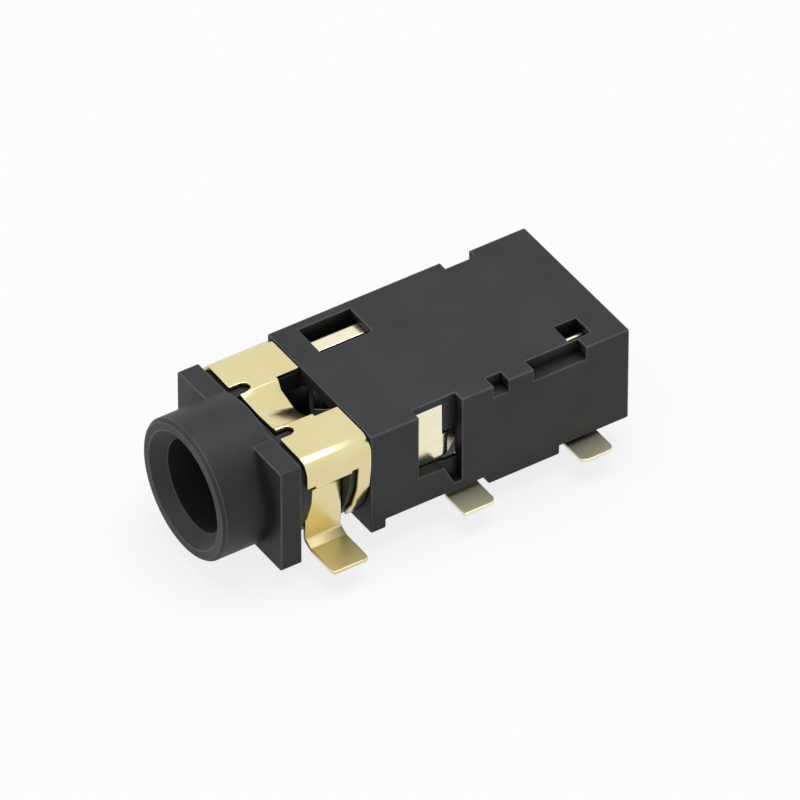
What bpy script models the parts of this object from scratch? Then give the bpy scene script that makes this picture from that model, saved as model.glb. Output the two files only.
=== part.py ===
"""A surface-mount audio jack socket for a 3.5 mm plug.

One black moulding holds everything: a round nozzle, a square flange, a narrow neck and a long
block. A folded, gilded sleeve shell is wrapped over the neck and stands on two feet. Four gilded
spring contacts are stamped from strip, sit in wells in the block and stand on a foot each.

Everything is modelled from the centre of the nozzle's mouth: +X runs into the bore, +Z is up
and the near side, with its long window, is -Y. An empty then puts the origin of the finished
part on the board, midway between the two locating pegs.
"""

import math
from dataclasses import dataclass

import bmesh
import bpy

MM = 0.001

# Bore, nozzle and flange
BORE_DIA = 3.6 * MM
BORE_DEPTH = 15.3 * MM
MOUTH_CHAMFER = 0.5 * MM
NOZZLE_DIA = 5.47 * MM
NOZZLE_LENGTH = 1.95 * MM
NOZZLE_EDGE = 0.14 * MM
FLANGE_THICKNESS = 0.86 * MM
FLANGE_WIDTH = 6.86 * MM
FLANGE_TOP = 2.24 * MM
FLANGE_CORNER = 0.12 * MM

# Neck and block
AXIS_HEIGHT = 2.24 * MM
NECK_LENGTH = 2.93 * MM
NECK_FLOOR = 0.3 * MM
BLOCK_LENGTH = 11.0 * MM
BLOCK_WIDTH = 6.84 * MM
BLOCK_TOP = 2.24 * MM
BLOCK_EDGE = 0.07 * MM
UNDERSIDE_GAP = 0.38 * MM
FRONT_PAD_LENGTH = 0.65 * MM
REAR_PAD_START = 5.0 * MM
REAR_PAD_LENGTH = 3.05 * MM
KEEL_WIDTH = 2.0 * MM

# Locating pegs
PEG_DIA = 1.0 * MM
PEG_LENGTH = 0.9 * MM
PEG_EDGE = 0.15 * MM
FRONT_PEG_AT = 1.7 * MM
PEG_SPACING = 4.8 * MM

# Gilded strip and the room round it
STRIP = 0.15 * MM
FIT = 0.03 * MM

# Sleeve shell
SHELL_FRONT_GAP = 0.22 * MM
SHELL_TOP = 2.22 * MM
SHELL_WIDTH = 7.0 * MM
SHELL_SHOULDER = 0.55 * MM
SHELL_BAND_DEPTH = 1.0 * MM
SHELL_WAIST_DEPTH = 1.15 * MM
SHELL_TUCK_RADIUS = 4.3 * MM
SHELL_TUCK_ANGLE = 38.0
SHELL_REAR_STRAP = 0.53 * MM
REAR_NOTCH_DEPTH = 0.96 * MM
NOTCH_MARGIN = 0.1 * MM
BRIDGE_WIDTH = 2.36 * MM
BRIDGE_REAR_DIP = 0.62 * MM
BRIDGE_CREASE_DIP = 0.25 * MM
BRIDGE_LIP = 0.35 * MM
BRIDGE_LIP_DIP = 0.12 * MM
RELIEF_WIDTH = 0.5 * MM
RELIEF_DEPTH = 0.48 * MM
RELIEF_END_DIA = 0.44 * MM
SHELL_LEG_SETBACK = 0.37 * MM
SHELL_LEG_GAP = 0.26 * MM
SHELL_LEG_HALF_GAUGE = 2.66 * MM
SHELL_LEG_SLANT = 45.0
SHELL_FOOT_REACH = 4.6 * MM

# Feet, shared by the shell and the contacts
FOOT_BEND = 0.2 * MM
FOOT_RAMP = 0.3 * MM
FOOT_RAMP_ANGLE = 25.0
FOOT_CORNER = 0.26 * MM

# Contacts
NEAR_HALF_GAUGE = 2.82 * MM
FAR_HALF_GAUGE = 2.63 * MM
REAR_HALF_GAUGE = 2.3 * MM
CONTACT_TOP = 1.89 * MM
ARM_LOW = -0.5 * MM
ARM_HIGH = 0.5 * MM
ARM_BEND = 0.5 * MM
ARM_PRESS = 0.32 * MM
ARM_SLANT = 38.0
ARM_TAIL = 0.35 * MM
ARM_ROOM = 0.12 * MM
FOOT_WIDTH = 1.38 * MM
FRONT_FOOT_AT = 3.3 * MM
REAR_FOOT_AT = 8.43 * MM
FRONT_FOOT_REACH = 4.46 * MM
REAR_FOOT_SHORTFALL = 0.1 * MM
PLATE_WIDTH = 1.6 * MM
PLATE_AT = 1.75 * MM
PLATE_BAND = 1.1 * MM
RAIL_AT = 0.9 * MM
RAIL_DEPTH = 0.85 * MM
RAIL_REACH = 0.68 * MM
RAIL_BEND = 0.15 * MM

# Windows and notches in the block
SIDE_WINDOW_AT = 2.03 * MM
SIDE_WINDOW_LENGTH = 1.83 * MM
SIDE_WINDOW_SILL = -0.6 * MM
SIDE_WELL_LENGTH = 0.3 * MM
SIDE_WELL_SLANT = 0.45 * MM
SIDE_WELL_SILL = -1.5 * MM
SIDE_WELL_DEPTH = 0.35 * MM
TOP_WINDOW_AT = 1.06 * MM
TOP_WINDOW_LENGTH = 2.19 * MM
TOP_WINDOW_WIDTH = 1.48 * MM
TOP_WINDOW_FLOOR = 1.3 * MM
TOP_WINDOW_WALL = 0.41 * MM
FAR_NOTCH_AT = 7.34 * MM
FAR_NOTCH_LENGTH = 1.26 * MM
FAR_NOTCH_DEPTH = 0.4 * MM
NEAR_REBATE_AT = 5.2 * MM
NEAR_REBATE_LENGTH = 3.95 * MM
NEAR_REBATE_DEPTH = 0.56 * MM
NEAR_REBATE_HEIGHT = 0.55 * MM
NEAR_TAB_AT = 5.84 * MM
NEAR_TAB_LENGTH = 1.07 * MM
REAR_HOLE_AT = 8.8 * MM
REAR_HOLE_SIZE = 0.95 * MM

# Places along the jack, worked out from the sizes above
FLANGE_FRONT = NOZZLE_LENGTH
FLANGE_REAR = FLANGE_FRONT + FLANGE_THICKNESS
BLOCK_FRONT = FLANGE_REAR + NECK_LENGTH
BLOCK_REAR = BLOCK_FRONT + BLOCK_LENGTH
BOARD_Z = -AXIS_HEIGHT
UNDERSIDE_Z = BOARD_Z + UNDERSIDE_GAP
SHELL_REAR = BLOCK_FRONT - FIT
SHELL_FRONT = FLANGE_REAR + SHELL_FRONT_GAP
REAR_NOTCH_OUT = BRIDGE_WIDTH / 2 + NOTCH_MARGIN
RELIEF_OUT = BRIDGE_WIDTH / 2 + RELIEF_WIDTH
RELIEF_END = SHELL_FRONT + RELIEF_DEPTH
LIP_FRONT = RELIEF_END - BRIDGE_LIP
STRAP_FRONT = SHELL_REAR - SHELL_REAR_STRAP
SHELL_LEG_FRONT = SHELL_FRONT + SHELL_LEG_SETBACK
SHELL_LEG_REAR = STRAP_FRONT - SHELL_LEG_GAP
REAR_FOOT_REACH = FRONT_FOOT_REACH - REAR_FOOT_SHORTFALL
FRONT_PEG_X = BLOCK_FRONT + FRONT_PEG_AT
REAR_PEG_X = FRONT_PEG_X + PEG_SPACING
ORIGIN_X = (FRONT_PEG_X + REAR_PEG_X) / 2
CUT_MARGIN = 0.5 * MM
OVERLAP = 0.2 * MM

NEAR = -1
FAR = 1


# Scene and object helpers


def clear_scene():
    for obj in list(bpy.data.objects):
        bpy.data.objects.remove(obj, do_unlink=True)


def new_collection(name):
    collection = bpy.data.collections.new(name)
    bpy.context.scene.collection.children.link(collection)
    return collection


def make_material(name, color, roughness, metallic):
    material = bpy.data.materials.new(name)
    material.use_nodes = True
    shader = material.node_tree.nodes["Principled BSDF"]
    shader.inputs["Base Color"].default_value = (*color, 1.0)
    shader.inputs["Roughness"].default_value = roughness
    shader.inputs["Metallic"].default_value = metallic
    return material


def add_object(name, mesh_builder, collection, datum):
    """Turns a bmesh into an object that hangs on the datum empty."""
    mesh = bpy.data.meshes.new(name)
    bmesh.ops.recalc_face_normals(mesh_builder, faces=mesh_builder.faces)
    mesh_builder.to_mesh(mesh)
    mesh_builder.free()
    obj = bpy.data.objects.new(name, mesh)
    obj.parent = datum
    collection.objects.link(obj)
    return obj


def smooth_by_angle(obj, degrees):
    obj.data.shade_smooth()
    obj.data.set_sharp_from_angle(angle=math.radians(degrees))


def add_boolean(obj, other, operation):
    modifier = obj.modifiers.new(f"{operation.lower()} {other.name}", "BOOLEAN")
    modifier.operation = operation
    modifier.solver = "EXACT"
    modifier.object = other


def add_bevel(obj, width, segments=2, angle=40.0):
    modifier = obj.modifiers.new("edge", "BEVEL")
    modifier.width = width
    modifier.segments = segments
    modifier.limit_method = "ANGLE"
    modifier.angle_limit = math.radians(angle)
    return modifier


# Plain solids


def box_mesh(low, high):
    """A box between two corners."""
    builder = bmesh.new()
    bmesh.ops.create_cube(builder, size=1.0)
    for vertex in builder.verts:
        for axis in range(3):
            vertex.co[axis] = low[axis] if vertex.co[axis] < 0 else high[axis]
    return builder


def side_box_mesh(side, x_range, out_range, z_range):
    """A box whose Y range is given as distances out from the centre plane, on one side."""
    y_low, y_high = sorted(side * distance for distance in out_range)
    return box_mesh((x_range[0], y_low, z_range[0]), (x_range[1], y_high, z_range[1]))


def prism_mesh(outline, low, high, axis):
    """A prism along an axis (0, 1 or 2) over an outline given in the other two coordinates."""
    builder = bmesh.new()
    corners = []
    for pair in outline:
        point = list(pair)
        point.insert(axis, low)
        corners.append(builder.verts.new(point))
    face = builder.faces.new(corners)
    grown = bmesh.ops.extrude_face_region(builder, geom=[face])
    moved = [item for item in grown["geom"] if isinstance(item, bmesh.types.BMVert)]
    for vertex in moved:
        vertex.co[axis] = high
    return builder


def turned_mesh(profile, segments):
    """A solid turned about the X axis from (x, radius) points that start and end on the axis."""
    builder = bmesh.new()
    points = [builder.verts.new((x, 0.0, radius)) for x, radius in profile]
    edges = [builder.edges.new(pair) for pair in zip(points, points[1:])]
    bmesh.ops.spin(
        builder,
        geom=points + edges,
        cent=(0.0, 0.0, 0.0),
        axis=(1.0, 0.0, 0.0),
        angle=math.tau,
        steps=segments,
        use_duplicate=False,
    )
    bmesh.ops.remove_doubles(builder, verts=builder.verts, dist=1e-7)
    return builder


# Folded strip


class Fold:
    """Walks along the section of a strip, by straight runs and round bends.

    The walk is flat, in a plane of (out, up). A heading of 0 degrees points out, -90 points down,
    and a positive bend turns towards up.
    """

    BEND_STEP = 15.0

    def __init__(self, start, heading):
        self.points = [start]
        self.heading = math.radians(heading)

    def run(self, length):
        out, up = self.points[-1]
        self.points.append((out + length * math.cos(self.heading), up + length * math.sin(self.heading)))
        return self

    def bend(self, radius, degrees):
        steps = max(2, round(abs(degrees) / self.BEND_STEP))
        turn = math.radians(degrees) / steps
        chord = 2 * radius * math.sin(abs(turn) / 2)
        for _ in range(steps):
            self.heading += turn / 2
            self.run(chord)
            self.heading += turn / 2
        return self


class Strip:
    """An open surface put together from grids of faces, later thickened to the strip's gauge."""

    def __init__(self):
        self.builder = bmesh.new()

    def panel(self, stations, path, place, keep=None):
        """One column of faces between two stations, one row between two points of the path."""
        rows = [[self.builder.verts.new(place(station, point)) for station in stations] for point in path]
        for row in range(len(path) - 1):
            for column in range(len(stations) - 1):
                middle = (stations[column] + stations[column + 1]) / 2
                start, end = path[row], path[row + 1]
                centre = ((start[0] + end[0]) / 2, (start[1] + end[1]) / 2)
                if keep is None or keep(middle, centre):
                    corners = (
                        rows[row][column],
                        rows[row][column + 1],
                        rows[row + 1][column + 1],
                        rows[row + 1][column],
                    )
                    self.builder.faces.new(corners)

    def round_tips(self, reach, radius):
        """Rounds the corners of each foot, which are the points that lie furthest out."""
        loose = [vertex for vertex in self.builder.verts if not vertex.link_faces]
        bmesh.ops.delete(self.builder, geom=loose, context="VERTS")
        bmesh.ops.remove_doubles(self.builder, verts=self.builder.verts, dist=1e-7)
        tips = [
            vertex
            for vertex in self.builder.verts
            if abs(vertex.co.y) > reach - 1e-6 and len(vertex.link_faces) == 1
        ]
        bmesh.ops.bevel(self.builder, geom=tips, offset=radius, segments=4, profile=0.5, affect="VERTICES")

    def finish(self, name, material, collection, datum):
        obj = add_object(name, self.builder, collection, datum)
        solidify = obj.modifiers.new("gauge", "SOLIDIFY")
        solidify.thickness = STRIP
        solidify.offset = 0.0
        solidify.use_even_offset = True
        obj.data.materials.append(material)
        return obj


def add_foot(fold, reach):
    """Bends a leg that runs straight down into a foot that lies on the board."""
    fold.bend(FOOT_BEND, 90.0 - FOOT_RAMP_ANGLE)
    fold.run(FOOT_RAMP)
    fold.bend(FOOT_BEND, FOOT_RAMP_ANGLE)
    fold.run(reach - fold.points[-1][0])
    return fold


def leg_bottom():
    """Height at which a leg has to start to bend for its foot to lie on the board."""
    foot_middle = BOARD_Z + STRIP / 2
    return foot_middle + FOOT_BEND + FOOT_RAMP * math.sin(math.radians(FOOT_RAMP_ANGLE))


# Sleeve shell


def shell_half_section():
    """Centre line of the shell from the end of its bridge, over the shoulder, to its band's edge."""
    half = SHELL_WIDTH / 2 - STRIP / 2
    fold = Fold((BRIDGE_WIDTH / 2, SHELL_TOP - STRIP / 2), 0.0)
    for out in sorted({REAR_NOTCH_OUT, RELIEF_OUT}) + [half - SHELL_SHOULDER]:
        fold.run(out - fold.points[-1][0])
    fold.bend(SHELL_SHOULDER, -90.0)
    fold.run(SHELL_BAND_DEPTH - SHELL_SHOULDER)
    return fold


def shell_strap_section():
    """Goes on from the band: straight down the side, then tucked in under the waist."""
    fold = Fold(shell_half_section().points[-1], -90.0)
    fold.run(SHELL_WAIST_DEPTH - SHELL_BAND_DEPTH)
    fold.bend(SHELL_TUCK_RADIUS, -SHELL_TUCK_ANGLE)
    return fold


def shell_leg_section():
    """Goes on from the band: slants in, drops to the board and turns out into a foot."""
    fold = Fold(shell_half_section().points[-1], -90.0)
    slant = math.radians(SHELL_LEG_SLANT)
    bend_shift = 2 * FOOT_BEND * (1 - math.cos(slant))
    shift = fold.points[-1][0] - SHELL_LEG_HALF_GAUGE
    fold.bend(FOOT_BEND, -SHELL_LEG_SLANT)
    fold.run((shift - bend_shift) / math.sin(slant))
    fold.bend(FOOT_BEND, SHELL_LEG_SLANT)
    fold.run(fold.points[-1][1] - leg_bottom())
    return add_foot(fold, SHELL_FOOT_REACH)


def bridge_section(x):
    """The bridge at one place along it: a step down at each end and a shallow V between them."""
    rear = SHELL_REAR - REAR_NOTCH_DEPTH
    if x < RELIEF_END:
        share = (RELIEF_END - x) / BRIDGE_LIP
        dip = BRIDGE_CREASE_DIP + share * (BRIDGE_LIP_DIP - BRIDGE_CREASE_DIP)
    else:
        share = (x - RELIEF_END) / (rear - RELIEF_END)
        dip = BRIDGE_CREASE_DIP + share * (BRIDGE_REAR_DIP - BRIDGE_CREASE_DIP)
    half = BRIDGE_WIDTH / 2
    level = SHELL_TOP - STRIP / 2
    fractions = ((1.0, 0.0), (0.95, 0.1), (0.82, 0.58), (0.15, 0.97), (0.0, 1.0))
    outer = [(half * out_share, level - dip * depth) for out_share, depth in fractions]
    return outer + [(-out, height) for out, height in reversed(outer[:-1])]


def make_shell(material, collection, cutters, datum):
    notch_front = SHELL_REAR - REAR_NOTCH_DEPTH
    leg_ends = {SHELL_LEG_FRONT, SHELL_LEG_REAR}
    stations = sorted({SHELL_FRONT, RELIEF_END, notch_front, STRAP_FRONT, SHELL_REAR} | leg_ends)

    def keep_band(x, point):
        in_relief = x < RELIEF_END and point[0] < RELIEF_OUT
        in_notch = x > notch_front and point[0] < REAR_NOTCH_OUT
        return not (in_relief or in_notch)

    strip = Strip()
    for side in (NEAR, FAR):

        def place(x, point, side=side):
            return (x, side * point[0], point[1])

        strip.panel(stations, shell_half_section().points, place, keep_band)
        strip.panel([STRAP_FRONT, SHELL_REAR], shell_strap_section().points, place)
        leg_stations = [x for x in stations if SHELL_LEG_FRONT <= x <= SHELL_LEG_REAR]
        strip.panel(leg_stations, shell_leg_section().points, place)

    bridge_stations = [LIP_FRONT] + [x for x in stations if RELIEF_END <= x <= notch_front]
    rows = []
    for x in bridge_stations:
        rows.append([strip.builder.verts.new((x, out, height)) for out, height in bridge_section(x)])
    for front, rear in zip(rows, rows[1:]):
        for number in range(len(front) - 1):
            corners = (front[number], rear[number], rear[number + 1], front[number + 1])
            strip.builder.faces.new(corners)

    strip.round_tips(SHELL_FOOT_REACH, FOOT_CORNER)
    shell = strip.finish("ground_shell", material, collection, datum)
    for side in (NEAR, FAR):
        hole_y = side * (BRIDGE_WIDTH / 2 + RELIEF_WIDTH / 2)
        radius = RELIEF_END_DIA / 2
        builder = bmesh.new()
        bmesh.ops.create_cone(
            builder, cap_ends=True, segments=20, radius1=radius, radius2=radius, depth=4 * STRIP
        )
        bmesh.ops.translate(builder, verts=builder.verts, vec=(RELIEF_END, hole_y, SHELL_TOP - STRIP / 2))
        label = "near" if side == NEAR else "far"
        cutter = add_object(f"cut_relief_{label}", builder, cutters, datum)
        add_boolean(shell, cutter, "DIFFERENCE")
    smooth_by_angle(shell, 30.0)
    return shell


# Spring contacts


@dataclass
class Contact:
    """A stamped contact, with its places measured back from the block's front face.

    plates are (start, end, bottom, top) areas of the standing part. The arm leaves the plate's
    edge at arm_root and runs towards arm_way, +1 for the rear and -1 for the nozzle. rail is the
    (start, end) stretch whose top is folded in level, where the contact has one.
    """

    name: str
    side: int
    half_gauge: float
    plates: tuple
    foot_at: float
    foot_reach: float
    arm_root: float
    arm_way: int
    rail: tuple = ()


def contact_list():
    low = leg_bottom()
    front_foot_end = FRONT_FOOT_AT + FOOT_WIDTH
    rear_foot_end = REAR_FOOT_AT + FOOT_WIDTH
    plate_end = PLATE_AT + PLATE_WIDTH
    band_top = UNDERSIDE_Z + PLATE_BAND
    rail_low = CONTACT_TOP - RAIL_DEPTH
    rail_bend_z = CONTACT_TOP - STRIP / 2 - RAIL_BEND
    return [
        Contact(
            "ring_contact",
            NEAR,
            NEAR_HALF_GAUGE,
            ((PLATE_AT, plate_end, low, CONTACT_TOP), (plate_end, front_foot_end, low, band_top)),
            FRONT_FOOT_AT,
            FRONT_FOOT_REACH,
            plate_end,
            1,
        ),
        Contact(
            "second_ring_contact",
            FAR,
            FAR_HALF_GAUGE,
            (
                (RAIL_AT, FRONT_FOOT_AT, rail_low, rail_bend_z),
                (FRONT_FOOT_AT, front_foot_end, low, rail_bend_z),
            ),
            FRONT_FOOT_AT,
            FRONT_FOOT_REACH,
            FRONT_FOOT_AT,
            -1,
            (RAIL_AT, front_foot_end),
        ),
        Contact(
            "tip_contact",
            NEAR,
            REAR_HALF_GAUGE,
            ((REAR_FOOT_AT, rear_foot_end, low, CONTACT_TOP),),
            REAR_FOOT_AT,
            REAR_FOOT_REACH,
            REAR_FOOT_AT,
            -1,
        ),
        Contact(
            "switch_contact",
            FAR,
            REAR_HALF_GAUGE,
            ((REAR_FOOT_AT, rear_foot_end, low, CONTACT_TOP),),
            REAR_FOOT_AT,
            REAR_FOOT_REACH,
            REAR_FOOT_AT,
            -1,
        ),
    ]


def arm_section(contact):
    """The arm seen from above, as (along, out) points: in towards the bore, a crest, and out again."""
    crest = BORE_DIA / 2 - ARM_PRESS
    slant = math.radians(ARM_SLANT)
    fold = Fold((0.0, contact.half_gauge), 0.0)
    fold.bend(ARM_BEND, -ARM_SLANT)
    bends_drop = 2 * ARM_BEND * (1 - math.cos(slant))
    fold.run((contact.half_gauge - crest - bends_drop) / math.sin(slant))
    fold.bend(ARM_BEND, 2 * ARM_SLANT)
    fold.run(ARM_TAIL)
    return fold.points


def well_outline(contact):
    """Plan of the room for the arm, as (x, y): its inner wall follows the arm, its outer is straight."""
    root = BLOCK_FRONT + contact.arm_root
    outer = contact.half_gauge + STRIP / 2 + FIT
    room = (STRIP / 2 + ARM_ROOM) / math.cos(math.radians(ARM_SLANT))
    arm = arm_section(contact)
    start, end = -STRIP, arm[-1][0] + STRIP
    outline = [(start, outer), (start, arm[0][1] - room)]
    outline += [(along, out - room) for along, out in arm]
    outline += [(end, arm[-1][1] - room), (end, outer)]
    return [(root + contact.arm_way * along, contact.side * out) for along, out in outline]


def rail_section(contact):
    """The level top of a contact, from its inner edge out to the bend and down."""
    fold = Fold((contact.half_gauge - RAIL_REACH, CONTACT_TOP - STRIP / 2), 0.0)
    fold.run(RAIL_REACH - RAIL_BEND)
    fold.bend(RAIL_BEND, -90.0)
    return fold.points


def make_contact(contact, material, collection, datum):
    foot_start = BLOCK_FRONT + contact.foot_at
    foot_end = foot_start + FOOT_WIDTH
    areas = [(BLOCK_FRONT + a, BLOCK_FRONT + b, low, high) for a, b, low, high in contact.plates]
    stations = {foot_start, foot_end}
    heights = {ARM_LOW, ARM_HIGH}
    for start, end, low, high in areas:
        stations |= {start, end}
        heights |= {low, high}
    stations = sorted(stations)
    standing = [(contact.half_gauge, height) for height in sorted(heights, reverse=True)]

    def place(x, point):
        return (x, contact.side * point[0], point[1])

    def keep(x, point):
        return any(start < x < end and low < point[1] < high for start, end, low, high in areas)

    strip = Strip()
    strip.panel(stations, standing, place, keep)
    if contact.rail:
        rail_start, rail_end = (BLOCK_FRONT + at for at in contact.rail)
        rail_stations = [x for x in stations if rail_start <= x <= rail_end]
        strip.panel(rail_stations, rail_section(contact), place)
    foot = add_foot(Fold((contact.half_gauge, leg_bottom()), -90.0), contact.foot_reach)
    foot_stations = [x for x in stations if foot_start <= x <= foot_end]
    strip.panel(foot_stations, foot.points, place)

    root = BLOCK_FRONT + contact.arm_root

    def place_arm(height, point):
        return (root + contact.arm_way * point[0], contact.side * point[1], height)

    strip.panel([ARM_LOW, ARM_HIGH], arm_section(contact), place_arm)
    strip.round_tips(contact.foot_reach, FOOT_CORNER)
    obj = strip.finish(contact.name, material, collection, datum)
    smooth_by_angle(obj, 30.0)
    return obj


# Moulded housing


def neck_outline():
    """Section of the neck: what the shell leaves free inside, closed by a flat floor."""
    inset = STRIP + FIT
    top = SHELL_TOP - inset
    half = SHELL_WIDTH / 2 - inset
    radius = SHELL_SHOULDER - STRIP / 2 - FIT
    fold = Fold((half - radius, top), 0.0)
    fold.bend(radius, -90.0)
    fold.run(SHELL_WAIST_DEPTH - SHELL_SHOULDER)
    fold.bend(SHELL_TUCK_RADIUS - STRIP / 2 - FIT, -SHELL_TUCK_ANGLE)
    floor = -BORE_DIA / 2 - NECK_FLOOR
    half_section = [point for point in fold.points if point[1] > floor]
    last = half_section[-1]
    half_section.append((last[0] - (last[1] - floor) * math.tan(math.radians(SHELL_TUCK_ANGLE)), floor))
    return half_section + [(-out, height) for out, height in reversed(half_section)]


def block_outline():
    """Side view of the block: a flat top, and an underside that touches the board on two pads."""
    pad_start = BLOCK_FRONT + REAR_PAD_START
    pad_end = pad_start + REAR_PAD_LENGTH
    front_pad_end = BLOCK_FRONT + FRONT_PAD_LENGTH
    return [
        (BLOCK_FRONT, BLOCK_TOP),
        (BLOCK_FRONT, BOARD_Z),
        (front_pad_end, BOARD_Z),
        (front_pad_end, UNDERSIDE_Z),
        (pad_start, UNDERSIDE_Z),
        (pad_start, BOARD_Z),
        (pad_end, BOARD_Z),
        (pad_end, UNDERSIDE_Z),
        (BLOCK_REAR, UNDERSIDE_Z),
        (BLOCK_REAR, BLOCK_TOP),
    ]


def nozzle_profile():
    radius = NOZZLE_DIA / 2
    return [
        (0.0, 0.0),
        (0.0, radius - NOZZLE_EDGE),
        (NOZZLE_EDGE * 0.4, radius - NOZZLE_EDGE * 0.4),
        (NOZZLE_EDGE, radius),
        (FLANGE_REAR - FLANGE_CORNER, radius),
        (FLANGE_REAR - FLANGE_CORNER, 0.0),
    ]


def bore_profile():
    radius = BORE_DIA / 2
    mouth = radius + MOUTH_CHAMFER
    return [
        (-CUT_MARGIN, 0.0),
        (-CUT_MARGIN, mouth),
        (0.0, mouth),
        (MOUTH_CHAMFER, radius),
        (BORE_DEPTH, radius),
        (BORE_DEPTH, 0.0),
    ]


def add_peg(name, x, cutters, datum):
    """A round peg that finds its hole in the board, with a chamfered end."""
    radius = PEG_DIA / 2
    top = BOARD_Z + OVERLAP / 2
    builder = bmesh.new()
    bmesh.ops.create_cone(
        builder, cap_ends=True, segments=32, radius1=radius, radius2=radius, depth=PEG_LENGTH + OVERLAP / 2
    )
    bottom = [edge for edge in builder.edges if all(vertex.co.z < 0 for vertex in edge.verts)]
    bmesh.ops.bevel(builder, geom=bottom, offset=PEG_EDGE, segments=2, profile=0.5, affect="EDGES")
    middle = top - (PEG_LENGTH + OVERLAP / 2) / 2
    bmesh.ops.translate(builder, verts=builder.verts, vec=(x, 0.0, middle))
    return add_object(name, builder, cutters, datum)


def contact_cutters(contact, cutters, datum):
    """The well under one contact: slots for its plates and a channel for its arm, open below."""
    outer = contact.half_gauge + STRIP / 2 + FIT
    inner = contact.half_gauge - STRIP / 2 - FIT
    below = BOARD_Z - CUT_MARGIN
    for number, (start, end, _, high) in enumerate(contact.plates):
        builder = side_box_mesh(
            contact.side,
            (BLOCK_FRONT + start - FIT, BLOCK_FRONT + end + FIT),
            (inner, outer),
            (below, high + FIT),
        )
        add_object(f"cut_{contact.name}_slot_{number}", builder, cutters, datum)
    if contact.rail:
        builder = side_box_mesh(
            contact.side,
            (BLOCK_FRONT + contact.rail[0] - FIT, BLOCK_FRONT + contact.rail[1] + FIT),
            (contact.half_gauge - RAIL_REACH - FIT, outer),
            (below, CONTACT_TOP + FIT),
        )
        add_object(f"cut_{contact.name}_rail", builder, cutters, datum)
    well = prism_mesh(well_outline(contact), below, ARM_HIGH + STRIP, axis=2)
    add_object(f"cut_{contact.name}_well", well, cutters, datum)


def window_cutters(cutters, datum):
    """Windows, notches, the rebate and the small hole that show on the block's outside."""
    outside = BLOCK_WIDTH / 2 + CUT_MARGIN
    above = BLOCK_TOP + CUT_MARGIN
    window_end = BLOCK_FRONT + SIDE_WINDOW_AT + SIDE_WINDOW_LENGTH
    plate_face = NEAR_HALF_GAUGE + STRIP / 2 + FIT
    trench_outer = BLOCK_WIDTH / 2 - TOP_WINDOW_WALL
    rebate_inner = BLOCK_WIDTH / 2 - NEAR_REBATE_DEPTH
    rebate_floor = BLOCK_TOP - NEAR_REBATE_HEIGHT
    hole_middle = REAR_HALF_GAUGE
    cuts = {
        "side_window": (
            NEAR,
            (window_end - SIDE_WINDOW_LENGTH, window_end),
            (plate_face, outside),
            (SIDE_WINDOW_SILL, above),
        ),
        "top_window": (
            FAR,
            (BLOCK_FRONT + TOP_WINDOW_AT, BLOCK_FRONT + TOP_WINDOW_AT + TOP_WINDOW_LENGTH),
            (trench_outer - TOP_WINDOW_WIDTH, trench_outer),
            (TOP_WINDOW_FLOOR, above),
        ),
        "near_rebate_front": (
            NEAR,
            (BLOCK_FRONT + NEAR_REBATE_AT, BLOCK_FRONT + NEAR_TAB_AT),
            (rebate_inner, outside),
            (rebate_floor, above),
        ),
        "near_rebate_rear": (
            NEAR,
            (
                BLOCK_FRONT + NEAR_TAB_AT + NEAR_TAB_LENGTH,
                BLOCK_FRONT + NEAR_REBATE_AT + NEAR_REBATE_LENGTH,
            ),
            (rebate_inner, outside),
            (rebate_floor, above),
        ),
        "far_notch": (
            FAR,
            (BLOCK_FRONT + FAR_NOTCH_AT, BLOCK_FRONT + FAR_NOTCH_AT + FAR_NOTCH_LENGTH),
            (BLOCK_WIDTH / 2 - FAR_NOTCH_DEPTH, outside),
            (rebate_floor, above),
        ),
        "rear_hole": (
            NEAR,
            (BLOCK_FRONT + REAR_HOLE_AT, BLOCK_FRONT + REAR_HOLE_AT + REAR_HOLE_SIZE),
            (hole_middle - REAR_HOLE_SIZE / 2, hole_middle + REAR_HOLE_SIZE / 2),
            (CONTACT_TOP - REAR_HOLE_SIZE / 2, above),
        ),
    }
    for name, (side, x_range, out_range, z_range) in cuts.items():
        add_object(f"cut_{name}", side_box_mesh(side, x_range, out_range, z_range), cutters, datum)
    well_start = window_end - SIDE_WELL_LENGTH
    side_well_outline = [
        (window_end, above),
        (window_end, SIDE_WELL_SILL),
        (well_start, SIDE_WELL_SILL),
        (well_start - SIDE_WELL_SLANT, SIDE_WINDOW_SILL),
        (well_start - SIDE_WELL_SLANT, above),
    ]
    well_inner = SIDE_WELL_DEPTH - BLOCK_WIDTH / 2
    side_well = prism_mesh(side_well_outline, -outside, well_inner, axis=1)
    add_object("cut_side_well", side_well, cutters, datum)


def add_neck(cutters, datum):
    """The neck, with its roof open for the shell's bridge right up to the block."""
    outline = prism_mesh(neck_outline(), FLANGE_REAR - OVERLAP, BLOCK_FRONT + OVERLAP, axis=0)
    neck = add_object("form_neck", outline, cutters, datum)
    roof = box_mesh(
        (LIP_FRONT - STRIP / 2, -REAR_NOTCH_OUT, 0.0),
        (BLOCK_FRONT + OVERLAP / 2, REAR_NOTCH_OUT, SHELL_TOP + CUT_MARGIN),
    )
    add_boolean(neck, add_object("opening_neck_roof", roof, cutters, datum), "DIFFERENCE")
    return neck


def neck_cutters(cutters, datum):
    """Makes room in the neck for the shell's two legs."""
    for side in (NEAR, FAR):
        builder = side_box_mesh(
            side,
            (SHELL_LEG_FRONT - FIT, SHELL_LEG_REAR + FIT),
            (SHELL_LEG_HALF_GAUGE - STRIP / 2 - FIT, SHELL_WIDTH),
            (BOARD_Z - CUT_MARGIN, SHELL_TOP - SHELL_BAND_DEPTH + FIT),
        )
        label = "near" if side == NEAR else "far"
        add_object(f"cut_neck_leg_{label}", builder, cutters, datum)


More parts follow.
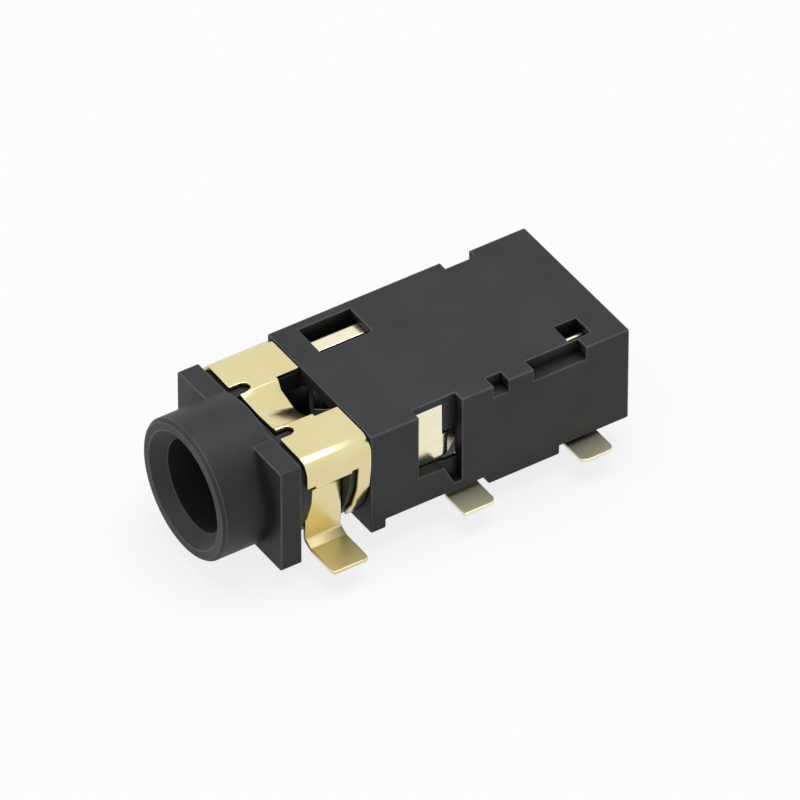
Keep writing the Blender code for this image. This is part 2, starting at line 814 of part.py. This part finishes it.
def make_flange(collection, datum):
    half = FLANGE_WIDTH / 2
    builder = box_mesh((FLANGE_FRONT, -half, BOARD_Z), (FLANGE_REAR, half, FLANGE_TOP))
    long_edges = [
        edge for edge in builder.edges if abs(edge.verts[0].co.x - edge.verts[1].co.x) > FLANGE_THICKNESS / 2
    ]
    bmesh.ops.bevel(builder, geom=long_edges, offset=FLANGE_CORNER, segments=3, profile=0.5, affect="EDGES")
    flange = add_object("housing", builder, collection, datum)
    add_bevel(flange, BLOCK_EDGE / 2)
    return flange


def make_housing(material, collection, cutters, datum):
    """Joins nozzle, flange, neck, block, keel and pegs, then cuts the bore, wells and windows."""
    housing = make_flange(collection, datum)
    housing.data.materials.append(material)
    half = BLOCK_WIDTH / 2
    block = add_object("form_block", prism_mesh(block_outline(), -half, half, axis=1), cutters, datum)
    add_bevel(block, BLOCK_EDGE)
    keel = box_mesh(
        (FLANGE_REAR - OVERLAP, -KEEL_WIDTH / 2, BOARD_Z),
        (BORE_DEPTH + NECK_FLOOR, KEEL_WIDTH / 2, UNDERSIDE_Z + OVERLAP),
    )
    forms = [
        add_object("form_nozzle", turned_mesh(nozzle_profile(), 72), cutters, datum),
        add_neck(cutters, datum),
        block,
        add_object("form_keel", keel, cutters, datum),
        add_peg("form_front_peg", FRONT_PEG_X, cutters, datum),
        add_peg("form_rear_peg", REAR_PEG_X, cutters, datum),
    ]
    for form in forms:
        add_boolean(housing, form, "UNION")
    add_object("cut_bore", turned_mesh(bore_profile(), 64), cutters, datum)
    neck_cutters(cutters, datum)
    window_cutters(cutters, datum)
    for contact in contact_list():
        contact_cutters(contact, cutters, datum)
    for cutter in cutters.objects:
        if cutter.name.startswith("cut_") and "relief" not in cutter.name:
            add_boolean(housing, cutter, "DIFFERENCE")
    smooth_by_angle(housing, 30.0)
    return housing


def main():
    clear_scene()
    parts = new_collection("audio_jack_socket")
    cutters = new_collection("forms_and_cutters")
    datum = bpy.data.objects.new("mouth_centre", None)
    datum.location = (-ORIGIN_X, 0.0, AXIS_HEIGHT)
    parts.objects.link(datum)
    plastic = make_material("black_plastic", (0.035, 0.036, 0.038), 0.5, 0.0)
    gold = make_material("gilded_strip", (0.86, 0.7, 0.38), 0.25, 1.0)
    make_housing(plastic, parts, cutters, datum)
    make_shell(gold, parts, cutters, datum)
    for contact in contact_list():
        make_contact(contact, gold, parts, datum)
    for helper in cutters.objects:
        helper.hide_render = True
        helper.display_type = "WIRE"


main()
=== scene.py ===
# %% [markdown]
# # The looks of a small audio jack socket
#
# This lesson dresses a surface-mount socket for a 3.5 mm audio plug. The real object is one black
# plastic moulding, with a round nozzle and a long block. It holds five pieces of springy
# strip: a folded, gilded sleeve shell and four gilded contacts, with feet to solder to a board.
#
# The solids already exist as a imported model, at their real size, and they are the frame for
# everything here. The lesson copies each solid into a finer surface with softened edges, mixes the
# plastic and the plating as node materials, and then sets up the camera, the floor and the light.

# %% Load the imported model
import math

import bmesh
import bpy
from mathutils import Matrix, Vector


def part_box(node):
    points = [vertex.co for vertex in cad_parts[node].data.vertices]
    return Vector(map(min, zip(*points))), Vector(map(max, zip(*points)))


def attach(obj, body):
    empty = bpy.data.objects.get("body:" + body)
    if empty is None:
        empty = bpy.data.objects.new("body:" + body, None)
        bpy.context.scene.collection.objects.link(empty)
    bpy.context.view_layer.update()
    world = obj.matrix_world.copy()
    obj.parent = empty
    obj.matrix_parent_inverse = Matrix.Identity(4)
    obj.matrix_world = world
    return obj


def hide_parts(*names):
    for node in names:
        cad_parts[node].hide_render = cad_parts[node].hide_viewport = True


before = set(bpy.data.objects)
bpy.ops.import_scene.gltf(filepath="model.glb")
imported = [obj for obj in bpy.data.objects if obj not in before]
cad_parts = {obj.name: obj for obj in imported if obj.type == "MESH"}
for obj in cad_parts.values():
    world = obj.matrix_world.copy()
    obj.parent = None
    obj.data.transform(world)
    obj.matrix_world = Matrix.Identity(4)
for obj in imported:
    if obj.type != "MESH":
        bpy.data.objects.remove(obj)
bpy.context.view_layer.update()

MM = 0.001

# %% [markdown]
# ## Softened edges
#
# A moulded edge is never knife sharp, and neither is the edge of stamped strip: both have a small
# round that catches a thin line of light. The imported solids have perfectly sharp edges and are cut
# into triangles. Their flat faces could be redrawn by hand, but a copy keeps every size as it is.
#
# So each solid's mesh is copied, its points are welded, and triangles that lie in one plane are
# dissolved into single faces. A bevel of two faces then rounds each sharp edge that stands out. The
# inner corners of a moulding look sharp, so they stay as they are, and so does a very short edge
# where a round would fold the mesh over itself. Creases are marked last, because the bevel draws
# large faces anew and drops marks that they had. A Weighted Normal modifier then makes the large
# faces shade flat right up to the rounds.

# %% A copy of a solid with softened edges
WELD = 2e-7
FLAT_ANGLE = math.radians(0.6)
ROUND_ANGLE = math.radians(50.0)
CREASE_ANGLE = math.radians(31.0)


def round_outer_edges(builder, width, shortest):
    """Rounds each sharp edge that stands out and isn't too short, and gives back the new faces."""
    outer = [
        edge
        for edge in builder.edges
        if edge.is_convex and edge.calc_face_angle(0.0) > ROUND_ANGLE and edge.calc_length() > shortest
    ]
    rounded = bmesh.ops.bevel(
        builder,
        geom=outer,
        offset=width,
        segments=2,
        profile=0.5,
        affect="EDGES",
        clamp_overlap=False,
        loop_slide=True,
        miter_outer="ARC",
    )
    return set(rounded["faces"])


def mark_creases(builder, rounds):
    """Lets the light flow over every edge but the creases. Two faces of one round may bend more."""
    for face in builder.faces:
        face.smooth = True
    for edge in builder.edges:
        limit = ROUND_ANGLE if all(face in rounds for face in edge.link_faces) else CREASE_ANGLE
        edge.smooth = edge.calc_face_angle(0.0) <= limit


def softened_mesh(node, edge_width, shortest):
    """The node's mesh as a new mesh, with its flat areas made whole and its outer edges rounded."""
    builder = bmesh.new()
    builder.from_mesh(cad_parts[node].data)
    bmesh.ops.remove_doubles(builder, verts=builder.verts, dist=WELD)
    bmesh.ops.dissolve_limit(builder, angle_limit=FLAT_ANGLE, verts=builder.verts, edges=builder.edges)
    builder.normal_update()
    rounds = round_outer_edges(builder, edge_width, shortest)
    builder.normal_update()
    mark_creases(builder, rounds)
    mesh = bpy.data.meshes.new(f"{node}_skin")
    builder.to_mesh(mesh)
    builder.free()
    return mesh


def softened(node, name, edge_width, shortest, material):
    """A piece that stands for the node, with its outer edges rounded."""
    mesh = softened_mesh(node, edge_width, shortest)
    mesh.materials.clear()
    mesh.materials.append(material)
    piece = bpy.data.objects.new(name, mesh)
    bpy.context.scene.collection.objects.link(piece)
    normals = piece.modifiers.new("flat faces", "WEIGHTED_NORMAL")
    normals.keep_sharp = True
    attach(piece, "root")
    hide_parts(node)
    print(f"{name}: {len(mesh.polygons)} faces, with outer edges rounded by {edge_width / MM:.3f} mm")


# %% [markdown]
# ## Node groups that the materials share
#
# Black plastic and gilded strip have nothing in common to look at, but the same four effects make
# both of them look real: a fine grain that breaks up the light, a soft cloud of slow change over
# millimetres, a painted highlight along the edges, and painted shade in pockets. Each is a shader node
# group with its own inputs, built once and placed in every material with other values. A fifth
# group, the rolled lines, is for the two kinds of strip.

# %% Helpers for node trees
def new_group(name, inputs, outputs):
    """An empty shader node group with float inputs, given as name and value, and named outputs."""
    group = bpy.data.node_groups.new(name, "ShaderNodeTree")
    for label, value in inputs.items():
        socket = group.interface.new_socket(label, in_out="INPUT", socket_type="NodeSocketFloat")
        socket.default_value = value
    for label in outputs:
        group.interface.new_socket(label, in_out="OUTPUT", socket_type="NodeSocketFloat")
    start = group.nodes.new("NodeGroupInput")
    end = group.nodes.new("NodeGroupOutput")
    return group, start, end


def math_node(tree, operation, first, second):
    """A Math node whose two inputs are sockets or plain numbers."""
    node = tree.nodes.new("ShaderNodeMath")
    node.operation = operation
    for socket, value in zip(node.inputs, (first, second)):
        if isinstance(value, (int, float)):
            socket.default_value = value
        else:
            tree.links.new(value, socket)
    return node.outputs[0]


def noise_node(tree, position, scale, detail, roughness=0.5):
    """A Noise texture whose scale is a socket or a plain number, in waves per metre."""
    node = tree.nodes.new("ShaderNodeTexNoise")
    tree.links.new(position, node.inputs["Vector"])
    if isinstance(scale, (int, float)):
        node.inputs["Scale"].default_value = scale
    else:
        tree.links.new(scale, node.inputs["Scale"])
    node.inputs["Detail"].default_value = detail
    node.inputs["Roughness"].default_value = roughness
    return node.outputs[0]


def object_position(tree):
    """The point on the surface in metres, which stays put when the object or the camera moves."""
    return tree.nodes.new("ShaderNodeTexCoord").outputs["Object"]


def stretched(tree, position, factors):
    """The position with each axis scaled by its own factor."""
    node = tree.nodes.new("ShaderNodeMapping")
    node.inputs["Scale"].default_value = factors
    tree.links.new(position, node.inputs["Vector"])
    return node.outputs[0]


def remapped(tree, value, low, high, new_low, new_high):
    """The value moved from one range to another, without leaving the new range."""
    node = tree.nodes.new("ShaderNodeMapRange")
    tree.links.new(value, node.inputs["Value"])
    for label, number in zip(("From Min", "From Max", "To Min", "To Max"), (low, high, new_low, new_high)):
        if isinstance(number, (int, float)):
            node.inputs[label].default_value = number
        else:
            tree.links.new(number, node.inputs[label])
    return node.outputs["Result"]


def blended(tree, mask, first, second):
    """A colour between two colours, each a socket or three numbers, by a mask from 0 to 1."""
    node = tree.nodes.new("ShaderNodeMix")
    node.data_type = "RGBA"
    tree.links.new(mask, node.inputs[0])
    for socket, colour in zip((node.inputs[6], node.inputs[7]), (first, second)):
        if isinstance(colour, tuple):
            socket.default_value = (*colour, 1.0)
        else:
            tree.links.new(colour, socket)
    return node.outputs[2]


# %% [markdown]
# The grain is the texture that the mould's spark-eroded wall leaves on plastic, and the tiny relief
# of a plated surface. Two noises of unlike size are added, because one alone looks like a pattern.
# The group puts out a height for a Bump node and the same grain as a mask. A noise keeps mostly to
# the middle of its range, so the mask spreads that middle from 0 to 1.

# %% Node group: fine grain
FINER_BY = 2.7
NOISE_MIDDLE = (0.35, 0.65)


def make_fine_grain():
    group, start, end = new_group(
        "fine_grain", {"Waves per metre": 9000.0, "Finer share": 0.4}, ("Height", "Mask")
    )
    position = object_position(group)
    coarse = noise_node(group, position, start.outputs["Waves per metre"], 2.0)
    finer_scale = math_node(group, "MULTIPLY", start.outputs["Waves per metre"], FINER_BY)
    fine = noise_node(group, position, finer_scale, 2.0)
    fine_part = math_node(group, "MULTIPLY", fine, start.outputs["Finer share"])
    coarse_share = math_node(group, "SUBTRACT", 1.0, start.outputs["Finer share"])
    coarse_part = math_node(group, "MULTIPLY", coarse, coarse_share)
    height = math_node(group, "ADD", coarse_part, fine_part)
    group.links.new(height, end.inputs["Height"])
    group.links.new(remapped(group, height, *NOISE_MIDDLE, 0.0, 1.0), end.inputs["Mask"])
    return group


fine_grain = make_fine_grain()
print("group:", fine_grain.name)

# %% [markdown]
# The cloud is slow change over a few millimetres: flow marks and handling on plastic, uneven
# thickness on plating. Its contrast is an input, so a material can turn it up or down: the higher
# it is, the narrower the band of the noise that the mask spreads from 0 to 1.

# %% Node group: slow cloud
HARDEST_CLOUD = 0.4


def make_slow_cloud():
    group, start, end = new_group("slow_cloud", {"Waves per metre": 500.0, "Contrast": 0.5}, ("Mask",))
    cloud = noise_node(group, object_position(group), start.outputs["Waves per metre"], 3.0)
    narrowing = math_node(group, "MULTIPLY", start.outputs["Contrast"], HARDEST_CLOUD)
    half_width = math_node(group, "SUBTRACT", 0.5, narrowing)
    low = math_node(group, "SUBTRACT", 0.5, half_width)
    high = math_node(group, "ADD", 0.5, half_width)
    group.links.new(remapped(group, cloud, low, high, 0.0, 1.0), end.inputs["Mask"])
    return group


slow_cloud = make_slow_cloud()
print("group:", slow_cloud.name)

# %% [markdown]
# The edge mask paints a highlight: it finds edges by comparing the surface's own direction with that
# of a slightly rounded copy of it, which the Bevel node works out. They differ only near an edge. A
# grain breaks the painted line up, so that it isn't even along an edge.

# %% Node group: painted edge highlights
PATCH_NOISE = (0.3, 0.65)
LEAST_EDGE_HIGHLIGHT = 0.35


def make_painted_edge_highlights():
    group, start, end = new_group(
        "painted_edge_highlights", {"Radius": 0.00005, "Strength": 6.0, "Patch waves per metre": 1500.0}, ("Mask",)
    )
    rounded = group.nodes.new("ShaderNodeBevel")
    rounded.samples = 6
    group.links.new(start.outputs["Radius"], rounded.inputs["Radius"])
    own = group.nodes.new("ShaderNodeNewGeometry")
    likeness = group.nodes.new("ShaderNodeVectorMath")
    likeness.operation = "DOT_PRODUCT"
    group.links.new(rounded.outputs["Normal"], likeness.inputs[0])
    group.links.new(own.outputs["Normal"], likeness.inputs[1])
    # How far the two directions differ sets the painted edge highlight, and patches of noise break it up.
    difference = math_node(group, "SUBTRACT", 1.0, likeness.outputs["Value"])
    edge = math_node(group, "MULTIPLY", difference, start.outputs["Strength"])
    patches = noise_node(group, object_position(group), start.outputs["Patch waves per metre"], 2.0)
    highlight_patches = remapped(group, patches, *PATCH_NOISE, LEAST_EDGE_HIGHLIGHT, 1.0)
    broken_highlight = math_node(group, "MULTIPLY", edge, highlight_patches)
    group.links.new(remapped(group, broken_highlight, 0.0, 1.0, 0.0, 1.0), end.inputs["Mask"])
    return group


painted_edge_highlights = make_painted_edge_highlights()
print("group:", painted_edge_highlights.name)

# %% [markdown]
# Strip is rolled, and the rolls leave hair-fine lines along it that the plating follows. They are
# long in one direction and short across it: a noise that is drawn out along the socket's length.

# %% Node group: rolled lines
ALONG_THE_STRIP = (0.04, 1.0, 1.0)


def make_rolled_lines():
    group, start, end = new_group("rolled_lines", {"Waves per metre": 30000.0}, ("Height", "Mask"))
    along = stretched(group, object_position(group), ALONG_THE_STRIP)
    lines = noise_node(group, along, start.outputs["Waves per metre"], 2.0)
    group.links.new(lines, end.inputs["Height"])
    group.links.new(remapped(group, lines, *NOISE_MIDDLE, 0.0, 1.0), end.inputs["Mask"])
    return group


rolled_lines = make_rolled_lines()
print("group:", rolled_lines.name)

# %% [markdown]
# Windows, wells and the bore look nearly black in the photograph, because little light finds its
# way in and out again. The rays do most of that by themselves. The rest is painted shade: the
# Ambient Occlusion node measures how closed in a point is, and the group turns that into a mask
# that darkens the colour there.

# %% Node group: painted shade in deep pockets
def make_painted_pocket_shade():
    group, start, end = new_group(
        "painted_pocket_shade", {"Reach": 0.003, "Open above": 0.8, "Closed below": 0.45}, ("Mask",)
    )
    shelter = group.nodes.new("ShaderNodeAmbientOcclusion")
    shelter.samples = 12
    group.links.new(start.outputs["Reach"], shelter.inputs["Distance"])
    low, high = start.outputs["Closed below"], start.outputs["Open above"]
    # The mask is painted shade: it is 1 where little light reaches and darkens the colour there.
    group.links.new(remapped(group, shelter.outputs["AO"], low, high, 1.0, 0.0), end.inputs["Mask"])
    return group


painted_pocket_shade = make_painted_pocket_shade()
print("group:", painted_pocket_shade.name)


# %% Helpers for materials
def new_material(name):
    """A node material, with its tree and its Principled shader."""
    material = bpy.data.materials.new(name)
    material.use_nodes = True
    tree = material.node_tree
    return material, tree, tree.nodes["Principled BSDF"]


def place_group(tree, group, **values):
    """A group in a tree, with its inputs set by name, where _ stands for a space."""
    node = tree.nodes.new("ShaderNodeGroup")
    node.node_tree = group
    for label, value in values.items():
        node.inputs[label.replace("_", " ")].default_value = value
    return node


def bump(tree, height, depth, under=None):
    """A Bump node of the given depth in metres, on top of another one's normal if there is one."""
    node = tree.nodes.new("ShaderNodeBump")
    node.inputs["Strength"].default_value = 1.0
    node.inputs["Distance"].default_value = depth
    tree.links.new(height, node.inputs["Height"])
    if under is not None:
        tree.links.new(under, node.inputs["Normal"])
    return node.outputs["Normal"]


# %% [markdown]
# ## Moulded black plastic
#
# The housing is moulded from a black, heat-proof plastic with a satin, slightly sandy skin. Dead
# black with one roughness would look like a hole in the picture. So the colour moves between two
# near blacks, the grain stands a few thousandths of a millimetre proud, a painted highlight makes the
# edges lighter, as in the photograph, and painted shade darkens the pockets.

# %% Material: moulded plastic
PLASTIC_DARK = (0.019, 0.020, 0.021)
PLASTIC_LIGHT = (0.031, 0.033, 0.035)
# The edge colour is a painted highlight, and the deep colour is painted shade in pockets.
PLASTIC_EDGE_HIGHLIGHT = (0.22, 0.225, 0.23)
PLASTIC_POCKET_SHADE = (0.003, 0.003, 0.003)
PLASTIC_EDGE_HIGHLIGHT_SHARE = 0.6
SATIN = (0.44, 0.6)
PLASTIC_GRAIN = 0.006 * MM


def make_moulded_plastic():
    material, tree, shader = new_material("moulded_black_plastic")
    shader.inputs["Specular IOR Level"].default_value = 0.25
    cloud = place_group(tree, slow_cloud, Waves_per_metre=420.0, Contrast=0.6)
    grain = place_group(tree, fine_grain, Waves_per_metre=11000.0, Finer_share=0.45)
    edges = place_group(tree, painted_edge_highlights, Radius=0.0001, Strength=14.0, Patch_waves_per_metre=900.0)
    pocket_shade = place_group(tree, painted_pocket_shade)
    body = blended(tree, cloud.outputs["Mask"], PLASTIC_DARK, PLASTIC_LIGHT)
    # A painted highlight lightens the edges, and painted shade darkens the pockets.
    edge_highlight_mask = math_node(tree, "MULTIPLY", edges.outputs["Mask"], PLASTIC_EDGE_HIGHLIGHT_SHARE)
    with_edge_highlight = blended(tree, edge_highlight_mask, body, PLASTIC_EDGE_HIGHLIGHT)
    tree.links.new(blended(tree, pocket_shade.outputs["Mask"], with_edge_highlight, PLASTIC_POCKET_SHADE), shader.inputs["Base Color"])
    roughness = remapped(tree, grain.outputs["Mask"], 0.0, 1.0, *SATIN)
    tree.links.new(roughness, shader.inputs["Roughness"])
    tree.links.new(bump(tree, grain.outputs["Height"], PLASTIC_GRAIN), shader.inputs["Normal"])
    return material


moulded_plastic = make_moulded_plastic()
print("material:", moulded_plastic.name)

# %% [markdown]
# ## Gilded strip
#
# The strip is a copper alloy with a thin, bright, pale gold plating. It is metal, so its colour is
# the colour of what it mirrors, tinted: the tint varies a little with the plating's thickness, the
# rolled lines stretch each highlight, and a painted highlight makes the cut edges the palest, as in
# the photograph. Painted shade darkens the pockets. The feet are duller than the rest, because they
# are made ready for solder, so the roughness rises towards the board. The shell and the contacts
# come from two strips, and the contacts' is the paler one: one function makes both, with their
# colours as its arguments.

# %% Materials: gilded strip of the shell and of the contacts
# The third colour of each strip is a painted edge highlight, and the deep colour is painted shade in
# pockets.
SHELL_GOLD = {"pale": (0.77, 0.69, 0.40), "warm": (0.73, 0.62, 0.31), "edge_highlight": (0.93, 0.89, 0.66)}
CONTACT_GOLD = {"pale": (0.92, 0.88, 0.68), "warm": (0.86, 0.79, 0.53), "edge_highlight": (0.96, 0.94, 0.82)}
GOLD_POCKET_SHADE = (0.16, 0.10, 0.035)
GOLD_EDGE_HIGHLIGHT_SHARE = 0.8
FAINTEST_STREAK = 0.6
POLISHED = (0.2, 0.24)
DULL_FOOT = 0.42
FOOT_TOP = 0.35 * MM
LEG_BOTTOM = 0.8 * MM
LINE_RELIEF = 0.0006 * MM
PLATING_GRAIN = 0.001 * MM


def make_gilded_strip(name, colours):
    material, tree, shader = new_material(name)
    shader.inputs["Metallic"].default_value = 1.0
    cloud = place_group(tree, slow_cloud, Waves_per_metre=700.0, Contrast=0.6)
    lines = place_group(tree, rolled_lines, Waves_per_metre=14000.0)
    grain = place_group(tree, fine_grain, Waves_per_metre=16000.0, Finer_share=0.5)
    edges = place_group(tree, painted_edge_highlights, Radius=0.00004, Strength=3.0, Patch_waves_per_metre=2500.0)
    pocket_shade = place_group(tree, painted_pocket_shade, Closed_below=0.1, Open_above=0.45)
    streaks = remapped(tree, lines.outputs["Mask"], 0.0, 1.0, FAINTEST_STREAK, 1.0)
    tone = math_node(tree, "MULTIPLY", cloud.outputs["Mask"], streaks)
    body = blended(tree, tone, colours["pale"], colours["warm"])
    # A painted highlight makes the edges paler, and painted shade makes the pockets darker.
    edge_highlight_mask = math_node(tree, "MULTIPLY", edges.outputs["Mask"], GOLD_EDGE_HIGHLIGHT_SHARE)
    with_edge_highlight = blended(tree, edge_highlight_mask, body, colours["edge_highlight"])
    tree.links.new(blended(tree, pocket_shade.outputs["Mask"], with_edge_highlight, GOLD_POCKET_SHADE), shader.inputs["Base Color"])
    height = tree.nodes.new("ShaderNodeSeparateXYZ")
    tree.links.new(object_position(tree), height.inputs[0])
    polished = remapped(tree, lines.outputs["Mask"], 0.0, 1.0, *POLISHED)
    roughness = remapped(tree, height.outputs["Z"], FOOT_TOP, LEG_BOTTOM, DULL_FOOT, polished)
    tree.links.new(roughness, shader.inputs["Roughness"])
    relief = bump(tree, lines.outputs["Height"], LINE_RELIEF)
    tree.links.new(bump(tree, grain.outputs["Height"], PLATING_GRAIN, relief), shader.inputs["Normal"])
    return material


shell_plating = make_gilded_strip("gilded_shell_plating", SHELL_GOLD)
contact_plating = make_gilded_strip("gilded_contact_plating", CONTACT_GOLD)
print("materials:", shell_plating.name, "and", contact_plating.name)

# %% [markdown]
# ## The pieces
#
# The housing gets a round of three hundredths of a millimetre, which is what a mould of this size
# leaves, and so does the plated edge of the strip. Each piece stands for one solid and rides with
# it. The shortest edges of the housing, where two forms only just meet, stay sharp.

# %% Housing, shell and contacts
MOULDED_EDGE = 0.03 * MM
SHORTEST_MOULDED = 0.075 * MM
STAMPED_EDGE = 0.03 * MM
SHORTEST_STAMPED = 0.0
CONTACTS = ("ring_contact", "second_ring_contact", "tip_contact", "switch_contact")

softened(
    "housing", "moulded_housing", MOULDED_EDGE, SHORTEST_MOULDED, moulded_plastic
)
for strip in ("ground_shell",) + CONTACTS:
    plating = contact_plating if strip in CONTACTS else shell_plating
    softened(strip, f"gilded_{strip}", STAMPED_EDGE, SHORTEST_STAMPED, plating)

# %% [markdown]
# ## Camera
#
# The photograph was taken from far off with a long lens, so parallel edges stay parallel. The
# camera looks along one direction, given as an azimuth and an elevation, at a point near the
# middle of the socket.

# %% Camera
VIEW_AZIMUTH = math.radians(-32.95)
VIEW_ELEVATION = math.radians(40.26)
AIM = Vector((-1.147, -0.75, 2.992)) * MM
CAMERA_DISTANCE = 0.479
FIELD = 28.53 * MM
SENSOR_MM = 36.0


def add_camera():
    back = Vector(
        (
            math.sin(VIEW_AZIMUTH) * math.cos(VIEW_ELEVATION),
            -math.cos(VIEW_AZIMUTH) * math.cos(VIEW_ELEVATION),
            math.sin(VIEW_ELEVATION),
        )
    )
    data = bpy.data.cameras.new("studio_camera")
    data.sensor_width = SENSOR_MM
    data.lens = SENSOR_MM * CAMERA_DISTANCE / FIELD
    camera = bpy.data.objects.new("studio_camera", data)
    camera.location = AIM + back * CAMERA_DISTANCE
    camera.rotation_euler = back.to_track_quat("Z", "Y").to_euler()
    bpy.context.scene.collection.objects.link(camera)
    bpy.context.scene.camera = camera
    return camera


camera = add_camera()
print("lens in mm:", round(camera.data.lens, 1))

# %% [markdown]
# ## Floor, background and light
#
# The product stands on white. The floor is a white sheet under the locating pegs: the camera sees
# most of it as plain white, and the rest keeps the socket's soft shadow. The world is white for the
# camera and for mirrored rays, so that the metal shows the same white room, and dimmer as a light.

# %% Floor
PEG_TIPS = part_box("housing")[0][2]
FLOOR_SIZE = 0.6
FLOOR_WHITE = (0.96, 0.96, 0.96)
SHADOW_SHARE = 0.18


def seen_directly(tree):
    """1 for rays that the camera, a mirror or glass sends out, and 0 for light that only fills in."""
    path = tree.nodes.new("ShaderNodeLightPath")
    glossy = math_node(tree, "MAXIMUM", path.outputs["Is Camera Ray"], path.outputs["Is Glossy Ray"])
    return math_node(tree, "MAXIMUM", glossy, path.outputs["Is Transmission Ray"])


def make_floor_material():
    material, tree, shader = new_material("white_floor")
    shader.inputs["Base Color"].default_value = (*FLOOR_WHITE, 1.0)
    shader.inputs["Roughness"].default_value = 0.9
    shader.inputs["Specular IOR Level"].default_value = 0.0
    glow = tree.nodes.new("ShaderNodeEmission")
    glow.inputs["Color"].default_value = (1.0, 1.0, 1.0, 1.0)
    mix = tree.nodes.new("ShaderNodeMixShader")
    tree.links.new(math_node(tree, "MULTIPLY", seen_directly(tree), 1.0 - SHADOW_SHARE), mix.inputs[0])
    tree.links.new(shader.outputs[0], mix.inputs[1])
    tree.links.new(glow.outputs[0], mix.inputs[2])
    tree.links.new(mix.outputs[0], tree.nodes["Material Output"].inputs["Surface"])
    return material


def add_floor():
    builder = bmesh.new()
    bmesh.ops.create_grid(builder, x_segments=1, y_segments=1, size=FLOOR_SIZE / 2)
    mesh = bpy.data.meshes.new("floor")
    builder.to_mesh(mesh)
    builder.free()
    mesh.materials.append(make_floor_material())
    floor = bpy.data.objects.new("floor", mesh)
    floor.location.z = PEG_TIPS
    bpy.context.scene.collection.objects.link(floor)


add_floor()
print("floor at mm:", round(PEG_TIPS / MM, 2))

# %% World
FILL_STRENGTH = 0.38


def set_world():
    world = bpy.data.worlds.new("white_room")
    world.use_nodes = True
    tree = world.node_tree
    background = tree.nodes["Background"]
    background.inputs["Color"].default_value = (1.0, 1.0, 1.0, 1.0)
    strength = remapped(tree, seen_directly(tree), 0.0, 1.0, FILL_STRENGTH, 1.0)
    tree.links.new(strength, background.inputs["Strength"])
    bpy.context.scene.world = world


set_world()
bpy.context.scene.view_settings.view_transform = "Standard"


# %% Lamps
def add_softbox(name, direction, distance, size, power):
    """A square lamp in the given direction from the socket, turned towards it."""
    data = bpy.data.lights.new(name, "AREA")
    data.shape = "SQUARE"
    data.size = size
    data.energy = power
    lamp = bpy.data.objects.new(name, data)
    way = Vector(direction).normalized()
    lamp.location = AIM + way * distance
    lamp.rotation_euler = way.to_track_quat("Z", "Y").to_euler()
    bpy.context.scene.collection.objects.link(lamp)


add_softbox("overhead_softbox", direction=(0.1, 0.0, 1.0), distance=0.25, size=0.16, power=0.34)
add_softbox("front_softbox", direction=(-1.0, 0.3, 0.25), distance=0.3, size=0.12, power=0.2)
